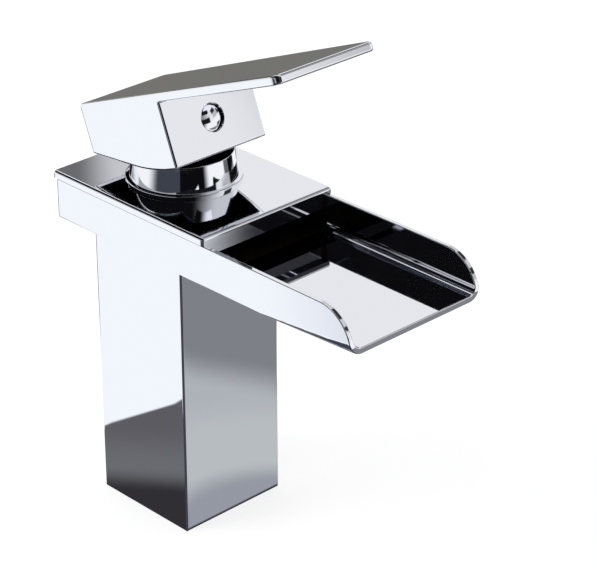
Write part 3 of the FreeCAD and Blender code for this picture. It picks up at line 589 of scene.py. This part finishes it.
@dataclass
class SpoutHead:
    """Wide flat head with its open trough, cover plate and flat seal, in millimetres."""

    channel_back: float = -31.5
    channel_front: float = 41.9
    channel_half: float = 28.05
    channel_low: float = 109.5
    channel_high: float = 122.5

    def build(self) -> None:
        """Dress the head, the plate and the seal between them."""
        middle = ((self.channel_back + self.channel_front) / 2, 0.0,
                  (self.channel_low + self.channel_high) / 2)
        half = ((self.channel_front - self.channel_back) / 2, self.channel_half,
                (self.channel_high - self.channel_low) / 2)
        # The unplated cast brass in the channel under the cover plate is painted far darker than
        # the column's: painted shade under the plate.
        finish = ChromePlate("chrome_over_cast_brass_head_painted_shade", cast_and_shade_colour="#3a332a",
                             cast_roughness=0.6, raw=(RawBox(middle, half),))
        dress("spout_head", finish.build())
        dress("cover_plate", CHROME)
        dress("plate_seal", RUBBER)


@dataclass
class Collar:
    """Tapered bonnet over the ring nut, turned with a thin base flange, in millimetres."""

    base_z: float = 125.0
    bore: float = 16.45
    flange_r: float = 20.5
    flange_high: float = 1.2
    low_r: float = 19.0
    top_r: float = 17.5
    high: float = 10.4
    hole_r: float = 12.0
    roof: float = 2.4
    edge: float = 0.28
    flange_round: float = 0.4
    hold: float = 0.7
    roll_steps: int = 6
    facets: int = 192
    crisp_deg: float = 50.0

    def profile(self) -> Profile:
        """Give the collar's section, with the flange's shoulder and the rim rolled over.

        Returns:
            Points of radius and height in millimetres.
        """
        step = self.base_z + self.flange_high
        top = self.base_z + self.high
        slope = (self.low_r - self.top_r) / (top - step)
        shoulder = []
        rim = []
        for k in range(self.roll_steps + 1):
            turn = math.radians(90 * k / self.roll_steps)
            inward = 1 - math.cos(turn)
            down = 1 - math.sin(turn)
            shoulder.append((self.flange_r - self.flange_round * inward,
                             step - self.flange_round * down))
            rim.append((self.top_r - self.edge * inward, top - self.edge * down))
        # The rings at hold stop the cone's shading from leaning into the rolled edges.
        return [
            (self.bore, self.base_z),
            (self.flange_r, self.base_z),
            *shoulder,
            (self.low_r, step),
            (self.low_r - slope * self.hold, step + self.hold),
            (self.top_r + slope * self.hold, top - self.hold),
            *rim,
            (self.hole_r, top),
            (self.hole_r, top - self.roof),
            (self.bore, top - self.roof),
        ]

    def build(self) -> None:
        """Make the collar and dress the nut under it."""
        shape = spun(self.profile(), self.facets)
        piece = make_piece("collar_turned", shape, CHROME, self.crisp_deg)
        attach(piece, "faucet")
        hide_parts("bonnet_collar")
        LOG.info("collar turned with %d faces", len(piece.data.polygons))
        dress("retaining_nut", BRASS)


@dataclass
class Cartridge:
    """Ceramic-disc cartridge between the column's chamber and the lever."""

    finishes: dict[str, bpy.types.Material] = field(default_factory=lambda: {
        "cartridge_housing": WHITE_ACETAL,
        "cartridge_base": GREY_ACETAL,
        "rotor": WHITE_ACETAL,
        "disc_slider": BLACK_ACETAL,
        "thrust_ring": BLACK_ACETAL,
        "fixed_disc": CERAMIC,
        "moving_disc": CERAMIC,
        "housing_ring": RUBBER,
        "port_seals": RUBBER,
        "disc_seals": RUBBER,
        "lever_pin": STEEL,
    })

    def build(self) -> None:
        """Dress each piece of the cartridge."""
        for node, material in self.finishes.items():
            dress(node, material)


@dataclass
class Lever:
    """Block with the long flat paddle, its stem, screw and polished plug, in millimetres."""

    tilt_deg: float = 21.8
    pivot_z: float = 126.0
    screw_n: float = 17.7
    cap_front: float = 23.45
    cap_edge: float = 22.6
    cap_back: float = 19.6
    cap_r: float = 4.55
    dome_r: float = 4.35
    spigot_r: float = 2.3
    spigot_long: float = 2.0
    hollow_middle: tuple[float, float, float] = (0.9, 0, 13.7)
    hollow_half: tuple[float, float, float] = (20.6, 18.9, 14.0)
    recess_n: float = 21.2
    recess_half: tuple[float, float, float] = (1.85, 4.8, 4.8)
    dome_steps: int = 14
    facets: int = 96
    edge_round: float = 0.12
    round_over_deg: float = 35.0
    crisp_deg: float = 50.0

    def seat(self, shape: bmesh.types.BMesh) -> None:
        """Tilt a shape that is drawn level and lift it to the lever's rest place.

        Args:
            shape: The mesh to move.
        """
        bmesh.ops.rotate(shape, verts=shape.verts, cent=(0, 0, 0),
                         matrix=Matrix.Rotation(-math.radians(self.tilt_deg), 3, "Y"))
        bmesh.ops.translate(shape, verts=shape.verts, vec=(0, 0, self.pivot_z * MM))

    def plug_profile(self) -> Profile:
        """Give the plug's section along its own axis.

        Returns:
            Points of radius and depth in millimetres.
        """
        rise = self.cap_front - self.cap_edge
        ball = (self.dome_r ** 2 + rise ** 2) / (2 * rise)
        dome = []
        for k in range(self.dome_steps + 1):
            r = self.dome_r * k / self.dome_steps
            dome.append((r, self.cap_front - ball + math.sqrt(ball ** 2 - r * r)))
        return dome + [
            (self.cap_r, self.cap_edge),
            (self.cap_r, self.cap_back),
            (self.spigot_r, self.cap_back),
            (self.spigot_r, self.cap_back - self.spigot_long),
            (0.0, self.cap_back - self.spigot_long),
        ]

    def build(self) -> None:
        """Make the plug and dress the lever's pieces."""
        # The unplated zinc in the hollow and round the plug is painted near black: cast skin and
        # painted shade, which gives the dark ring in the plug's recess.
        hollow = RawBox(self.hollow_middle, self.hollow_half, self.tilt_deg, self.pivot_z)
        recess = RawBox((self.recess_n, 0, self.screw_n), self.recess_half,
                        self.tilt_deg, self.pivot_z)
        finish = ChromePlate("chrome_over_cast_zinc_lever_painted_shade", cast_and_shade_colour="#3b3a39",
                             cast_roughness=0.6, raw=(hollow, recess))
        dress("lever_handle", finish.build())
        dress("lever_stem", STEEL)
        dress("grub_screw", STEEL)
        shape = spun(self.plug_profile(), self.facets, Facing.FORWARD)
        bmesh.ops.translate(shape, verts=shape.verts, vec=(0, 0, self.screw_n * MM))
        soften(shape, self.edge_round, self.round_over_deg)
        self.seat(shape)
        piece = make_piece("plug_polished", shape, CHROME, self.crisp_deg)
        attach(piece, "lever")
        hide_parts("screw_cap")
        LOG.info("plug turned with %d faces", len(piece.data.polygons))


@dataclass
class DeckFixing:
    """Threaded stud with its horseshoe washers and nut below the deck, in millimetres."""

    stud_x: float = -13.5
    crest_r: float = 4.0
    root_r: float = 3.4
    pitch: float = 1.25
    low_z: float = -55.0
    high_z: float = 15.0
    steps: int = 40
    seam: float = 0.002
    crisp_deg: float = 25.0

    def threaded_stud(self) -> bpy.types.Object:
        """Make the stud with a real helical thread.

        Returns:
            The stud.
        """
        shape = bmesh.new()
        # A metric thread's crest is an eighth of its pitch wide.
        flat = self.pitch / 8
        section = [(self.root_r, 0.0), (self.root_r, flat), (self.crest_r, self.pitch / 2),
                   (self.crest_r, self.pitch / 2 + flat), (self.root_r, self.pitch)]
        points = [shape.verts.new((r * MM, 0, (self.low_z - self.pitch + z) * MM))
                  for r, z in section]
        lines = [shape.edges.new(pair) for pair in zip(points, points[1:])]
        turns = round((self.high_z - self.low_z) / self.pitch) + 2
        bmesh.ops.spin(shape, geom=points + lines, cent=(0, 0, 0), axis=(0, 0, 1),
                       dvec=(0, 0, self.pitch * MM / self.steps), angle=2 * math.pi * turns,
                       steps=self.steps * turns, use_merge=False, use_normal_flip=False,
                       use_duplicate=False)
        bmesh.ops.remove_doubles(shape, verts=shape.verts, dist=self.seam * MM)
        for height, way in ((self.low_z, -1), (self.high_z, 1)):
            whole = shape.verts[:] + shape.edges[:] + shape.faces[:]
            cut = bmesh.ops.bisect_plane(shape, geom=whole, dist=WELD_M,
                                         plane_co=(0, 0, height * MM),
                                         plane_no=(0, 0, way), clear_outer=True)
            rim = [e for e in cut["geom_cut"] if isinstance(e, bmesh.types.BMEdge)]
            bmesh.ops.contextual_create(shape, geom=rim)
        bmesh.ops.translate(shape, verts=shape.verts, vec=(self.stud_x * MM, 0, 0))
        return make_piece("stud_threaded", shape, ZINC, self.crisp_deg)

    def build(self) -> None:
        """Make the stud and dress the washers and nut."""
        stud = self.threaded_stud()
        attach(stud, "faucet")
        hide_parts("mounting_stud")
        LOG.info("stud threaded with %d faces", len(stud.data.polygons))
        dress("rubber_washer", RUBBER)
        dress("clamp_washer", ZINC)
        dress("stud_nut", BRASS)


@dataclass(frozen=True)
class PaintedReflectionPatch:
    """Patch of painted reflection in the studio tent, glowing with its own tone for the polished
    chrome to mirror.

    Turns are in degrees about the upright axis from the spout's direction, or from the
    opposite one for a patch behind, and rises are in degrees above the tent's middle.
    """

    turn_low: float
    turn_high: float
    rise_low: float
    rise_high: float
    tone: tuple[float, float, float]
    turn_soft: float = 3.0
    rise_soft: float = 3.0
    behind: bool = False


@dataclass
class Studio:
    """Pale floor, soft light, and the painted reflections, a sheet and a tent, that the polished
    chrome mirrors.

    Lengths are in metres unless a name says millimetres.
    """

    floor_r: float = 3.0
    floor_paint: tuple[float, float, float, float] = (0.38, 0.38, 0.385, 1)
    floor_glow: float = 0.72
    round_facets: int = 96
    # The sheet and the tent below glow only for mirrored rays: painted reflections, with painted
    # shade in their dark patches.
    reflection_sheet_half: float = 0.56
    reflection_sheet_lift_mm: float = 0.2
    reflection_sheet_tone: tuple[float, float, float, float] = (0.975, 1.0, 1.03, 1.0)
    tent_r: float = 2.2
    tent_middle: tuple[float, float, float] = (0.03, 0.0, 0.13)
    tent_rings: int = 48
    tent_tone: tuple[float, float, float, float] = (0.97, 0.98, 1.0, 1.0)
    sky_light: float = 0.8
    sky_seen: float = 1.0
    lamp_size: float = 0.7
    lamp_watts: float = 7.0
    lamp_place: tuple[float, float, float] = (-0.5, -0.9, 1.3)
    lamp_target: tuple[float, float, float] = (0.02, 0, 0.06)
    lens_mm: float = 147.8
    sensor_mm: float = 36.0
    clip_near: float = 0.01
    clip_far: float = 50.0
    camera_turn_deg: float = 46.08
    camera_rise_deg: float = 27.03
    camera_roll_deg: float = -0.11
    camera_away: float = 0.8647
    camera_target_mm: tuple[float, float, float] = (27.78, 27.74, 80.0)
    # Painted reflections: patches of the tent that glow with set tones, bright and dark, for the
    # chrome to mirror.
    reflection_patches: tuple[PaintedReflectionPatch, ...] = (
        PaintedReflectionPatch(-20, 140, 31, 75, (0.62, 0.63, 0.65), 6, 4),
        PaintedReflectionPatch(-5, 140, 5, 31, (0.86, 0.865, 0.88), 5, 4),
        PaintedReflectionPatch(41.2, 75, 9.5, 19, (0.50, 0.50, 0.515), 5, 3),
        PaintedReflectionPatch(41, 62, 20, 32, (0.03, 0.03, 0.035), 3, 3),
        PaintedReflectionPatch(60, 102, 44, 58, (0.03, 0.03, 0.035), 4, 3),
        PaintedReflectionPatch(-40.5, -25, 14, 60, (0.60, 0.60, 0.62), 3.5, 3, True),
        PaintedReflectionPatch(-37.4, -25, 14, 60, (0.155, 0.155, 0.162), 1.6, 3, True),
        PaintedReflectionPatch(-39, -30, -6, 13, (0.006, 0.006, 0.007), 2, 2, True),
        PaintedReflectionPatch(-60, -15, -20, -6.5, (0.180, 0.178, 0.167), 2, 2, True),
        PaintedReflectionPatch(-150, -60, 0, 14, (0.40, 0.41, 0.43), 6, 4),
        PaintedReflectionPatch(-60, 26, 2, 18, (0.010, 0.010, 0.012), 4, 3),
        PaintedReflectionPatch(66, 112, 8, 19, (0.006, 0.006, 0.007), 6, 3),
        PaintedReflectionPatch(-200, -30, 16, 80, (0.004, 0.004, 0.005), 5, 5),
        PaintedReflectionPatch(-90, 10, 16, 80, (0.004, 0.004, 0.005), 70, 5),
        PaintedReflectionPatch(152, 177, 6, 26, (0.006, 0.006, 0.007), 10, 4),
        PaintedReflectionPatch(-111, -20, -50, 1, (0.050, 0.056, 0.072), 28, 2),
        PaintedReflectionPatch(-51, -10, -50, 1, (0.004, 0.004, 0.005), 3, 2),
        PaintedReflectionPatch(-20, 6, -50, 1, (0.004, 0.004, 0.005), 16, 2),
        PaintedReflectionPatch(52, 64, -18, -6.5, (0.14, 0.14, 0.15), 5, 2),
        PaintedReflectionPatch(63, 118, -24, -7.5, (0.004, 0.004, 0.005), 8, 2),
    )

    def seen_rays(self, tree: bpy.types.NodeTree) -> object:
        """Make a factor that is one for the camera's rays and for mirrored or refracted ones.

        Args:
            tree: The material's or world's node tree.

        Returns:
            The socket of the factor.
        """
        rays = add(tree, "ShaderNodeLightPath", {})
        seen = rays.outputs["Is Camera Ray"]
        for kind in ("Is Glossy Ray", "Is Transmission Ray"):
            seen = add(tree, "ShaderNodeMath", {0: seen, 1: rays.outputs[kind]},
                       operation="MAXIMUM").outputs[0]
        return seen

    def floor(self) -> None:
        """Lay the white floor with the mixer's faint shadow; the chrome mirrors the painted
        reflections instead.
        """
        shape = bmesh.new()
        bmesh.ops.create_circle(shape, cap_ends=True, segments=self.round_facets,
                                radius=self.floor_r)
        material, tree = new_tree("pale_floor")
        glow = add(tree, "ShaderNodeMath", {0: self.seen_rays(tree), 1: self.floor_glow},
                   operation="MULTIPLY")
        paint = add(tree, "ShaderNodeBsdfDiffuse", {"Color": self.floor_paint})
        white = add(tree, "ShaderNodeEmission",
                    {"Color": (1, 1, 1, 1), "Strength": glow.outputs[0]})
        both = add(tree, "ShaderNodeAddShader", {0: paint.outputs[0], 1: white.outputs[0]})
        add(tree, "ShaderNodeOutputMaterial", {"Surface": both.outputs[0]})
        ground = make_piece("studio_floor", shape, material)
        ground.visible_glossy = False

    def reflection_sheet(self) -> None:
        """Lay the glowing sheet of painted reflections and painted shade that the upright faces
        mirror; the camera doesn't see it.
        """
        shape = bmesh.new()
        bmesh.ops.create_circle(shape, cap_ends=True, segments=self.round_facets,
                                radius=self.reflection_sheet_half)
        bmesh.ops.translate(shape, verts=shape.verts, vec=(0, 0, self.reflection_sheet_lift_mm * MM))
        material, tree = new_tree("painted_shade_and_reflection_sheet")
        place = add(tree, "ShaderNodeTexCoord", {})
        scaled = add(tree, "ShaderNodeVectorMath",
                     {0: place.outputs["Object"], 3: 1 / MM}, operation="SCALE")
        parts = add(tree, "ShaderNodeSeparateXYZ", {0: scaled.outputs[0]})
        x, y = parts.outputs[0], parts.outputs[1]
        side = add(tree, "ShaderNodeMath", {0: y}, operation="ABSOLUTE").outputs[0]
        reach = add(tree, "ShaderNodeVectorMath", {0: scaled.outputs[0]},
                    operation="LENGTH").outputs["Value"]
        foot = self.slant(tree, x, y, 1.0, 0.2185)
        near_left = self.slant(tree, x, y, -0.62, -0.78)
        lip_side = self.slant(tree, x, y, 0.643, -0.766)
        far_right = self.slant(tree, x, y, 0.5, 1.0)
        camera_left = self.slant(tree, x, y, 0.966, -0.259)
        camera_right = self.slant(tree, x, y, 0.342, -0.94)
        rear_left = self.slant(tree, x, y, -0.62, 1.0)
        rear_right = self.slant(tree, x, y, -1.2, 1.0)
        tone = self.reflection_sheet_tone
        # Each patch has its limits in millimetres, with the width of their fade, and its tone.
        # Painted shade: dark round the column's foot, grey in front of it; the other patches are
        # painted reflections.
        column_foot_painted_shade = ((foot, -67.1, 90, 2.0), (side, -9, 100, 3))
        front_painted_shade = (x, 24, 900, 2.0)
        patches = (
            (((lip_side, 105, 900, 60),), (0.72, 0.76, 0.84)),
            (column_foot_painted_shade, (0.117, 0.114, 0.125)),
            (column_foot_painted_shade + ((near_left, -900, 62, 30),), (0.158, 0.159, 0.170)),
            (column_foot_painted_shade + ((near_left, -900, 36.5, 17),), (0.033, 0.031, 0.036)),
            ((front_painted_shade,), (0.525, 0.550, 0.560)),
            ((front_painted_shade, (reach, 88, 900, 30)), (0.465, 0.485, 0.510)),
            ((front_painted_shade, (far_right, 115, 900, 34)), (0.227, 0.237, 0.252)),
            ((front_painted_shade, (reach, -9, 42, 16)), (0.330, 0.345, 0.385)),
            (((camera_left, 27, 900, 4), (camera_right, 28.2, 900, 3)), (0.050, 0.056, 0.072)),
            (((rear_left, -2, 900, 3), (x, -900, 0, 2), (reach, 150, 385, 50)),
             (0.030, 0.031, 0.034)),
            (((rear_right, 4, 900, 3), (x, 0, 900, 2), (reach, 150, 430, 60)),
             (0.030, 0.031, 0.034)),
        )
        for limits, shade in patches:
            factor = all_of(tree, [band(tree, *limit) for limit in limits])
            tone = add(tree, "ShaderNodeMix", {0: factor, 6: tone, 7: (*shade, 1.0)},
                       data_type="RGBA").outputs[2]
        glow = add(tree, "ShaderNodeEmission", {"Color": tone, "Strength": 1.0})
        add(tree, "ShaderNodeOutputMaterial", {"Surface": glow.outputs[0]})
        self.only_mirrored(make_piece("painted_reflection_sheet", shape, material))

    def slant(self, tree: bpy.types.NodeTree, x: object, y: object, along_x: float,
              along_y: float) -> object:
        """Measure the way across the painted reflection sheet in one direction.

        Args:
            tree: The painted reflection sheet's node tree.
            x: Socket with the place along x in millimetres.
            y: Socket with the place along y in millimetres.
            along_x: Share of x.
            along_y: Share of y.

        Returns:
            The socket of the sum.
        """
        part = add(tree, "ShaderNodeMath", {0: x, 1: along_x}, operation="MULTIPLY")
        return add(tree, "ShaderNodeMath", {0: y, 1: along_y, 2: part.outputs[0]},
                   operation="MULTIPLY_ADD").outputs[0]

    def bearing(self, tree: bpy.types.NodeTree, way: object) -> object:
        """Measure how far a direction is turned about the upright axis.

        Args:
            tree: The tent's node tree.
            way: Socket of the direction.

        Returns:
            The socket of the turn, in degrees.
        """
        parts = add(tree, "ShaderNodeSeparateXYZ", {0: way})
        turn = add(tree, "ShaderNodeMath", {0: parts.outputs[1], 1: parts.outputs[0]},
                   operation="ARCTAN2")
        return add(tree, "ShaderNodeMath", {0: turn.outputs[0], 1: DEGREES_PER_RADIAN},
                   operation="MULTIPLY").outputs[0]

    def tent(self) -> None:
        """Hang the tent of bright and dark patches of painted reflection round the mixer."""
        shape = bmesh.new()
        bmesh.ops.create_uvsphere(shape, u_segments=self.round_facets,
                                  v_segments=self.tent_rings, radius=self.tent_r)
        bmesh.ops.translate(shape, verts=shape.verts, vec=self.tent_middle)
        material, tree = new_tree("painted_reflection_tent")
        place = add(tree, "ShaderNodeTexCoord", {})
        centred = add(tree, "ShaderNodeVectorMath",
                      {0: place.outputs["Object"], 1: self.tent_middle}, operation="SUBTRACT")
        opposite = add(tree, "ShaderNodeVectorMath", {0: centred.outputs[0], 3: -1.0},
                       operation="SCALE")
        turn = self.bearing(tree, centred.outputs[0])
        turn_behind = self.bearing(tree, opposite.outputs[0])
        parts = add(tree, "ShaderNodeSeparateXYZ", {0: centred.outputs[0]})
        level = add(tree, "ShaderNodeMath", {0: parts.outputs[2], 1: self.tent_r},
                    operation="DIVIDE")
        rise = add(tree, "ShaderNodeMath", {0: level.outputs[0]}, operation="ARCSINE")
        rise = add(tree, "ShaderNodeMath", {0: rise.outputs[0], 1: DEGREES_PER_RADIAN},
                   operation="MULTIPLY").outputs[0]
        tone = self.tent_tone
        for painted_reflection in self.reflection_patches:
            angle = turn_behind if painted_reflection.behind else turn
            wide = band(tree, angle, painted_reflection.turn_low, painted_reflection.turn_high, painted_reflection.turn_soft)
            high = band(tree, rise, painted_reflection.rise_low, painted_reflection.rise_high, painted_reflection.rise_soft)
            factor = all_of(tree, [wide, high])
            tone = add(tree, "ShaderNodeMix", {0: factor, 6: tone, 7: (*painted_reflection.tone, 1.0)},
                       data_type="RGBA").outputs[2]
        glow = add(tree, "ShaderNodeEmission", {"Color": tone, "Strength": 1.0})
        add(tree, "ShaderNodeOutputMaterial", {"Surface": glow.outputs[0]})
        self.only_mirrored(make_piece("painted_reflection_tent", shape, material))

    def only_mirrored(self, painted_reflection: bpy.types.Object) -> None:
        """Mark a piece of painted reflection that only polished surfaces show.

        Args:
            painted_reflection: The sheet or tent of painted reflections.
        """
        painted_reflection.visible_camera = False
        painted_reflection.visible_diffuse = False
        painted_reflection.visible_shadow = False

    def lights(self) -> None:
        """Light the room evenly, with one soft lamp for the shadow on the floor."""
        world = bpy.data.worlds.new("studio_world")
        bpy.context.scene.world = world
        world.use_nodes = True
        tree = world.node_tree
        tree.nodes.clear()
        level = add(tree, "ShaderNodeMapRange",
                    {0: self.seen_rays(tree), 1: 0.0, 2: 1.0,
                     3: self.sky_light, 4: self.sky_seen})
        sky = add(tree, "ShaderNodeBackground",
                  {"Color": (1, 1, 1, 1), "Strength": level.outputs[0]})
        add(tree, "ShaderNodeOutputWorld", {"Surface": sky.outputs[0]})
        lamp = bpy.data.lights.new("key_softbox", "AREA")
        lamp.shape = "DISK"
        lamp.size = self.lamp_size
        lamp.energy = self.lamp_watts
        holder = bpy.data.objects.new("key_softbox", lamp)
        bpy.context.scene.collection.objects.link(holder)
        spot = Vector(self.lamp_place)
        aim = Vector(self.lamp_target) - spot
        look = aim.to_track_quat("-Z", "Y").to_matrix().to_4x4()
        holder.matrix_world = Matrix.Translation(spot) @ look
        holder.visible_glossy = False

    def camera(self) -> None:
        """Place the camera at the picture's viewing angle."""
        lens = bpy.data.cameras.new("camera")
        lens.lens = self.lens_mm
        lens.sensor_width = self.sensor_mm
        lens.clip_start = self.clip_near
        lens.clip_end = self.clip_far
        holder = bpy.data.objects.new("camera", lens)
        bpy.context.scene.collection.objects.link(holder)
        turn, rise = math.radians(self.camera_turn_deg), math.radians(self.camera_rise_deg)
        aim = Vector(self.camera_target_mm) * MM
        back = Vector((math.sin(turn) * math.cos(rise), -math.cos(turn) * math.cos(rise),
                       math.sin(rise)))
        look = (-back).to_track_quat("-Z", "Y").to_matrix().to_4x4()
        roll = Matrix.Rotation(math.radians(self.camera_roll_deg), 4, "Z")
        holder.matrix_world = Matrix.Translation(aim + back * self.camera_away) @ look @ roll
        bpy.context.scene.camera = holder

    def build(self) -> None:
        """Set the whole stage."""
        self.floor()
        self.reflection_sheet()
        self.tent()
        self.lights()
        self.camera()
        bpy.context.scene.view_settings.view_transform = "Standard"


def main() -> None:
    """Build the mixer's pieces in order, then the studio round them."""
    logging.basicConfig(level=logging.INFO, format="%(message)s")
    for part in (Column(), SpoutHead(), Collar(), Cartridge(), Lever(), DeckFixing()):
        part.build()
        LOG.info("%s done", type(part).__name__)
    Studio().build()


if __name__ == "__main__":
    main()
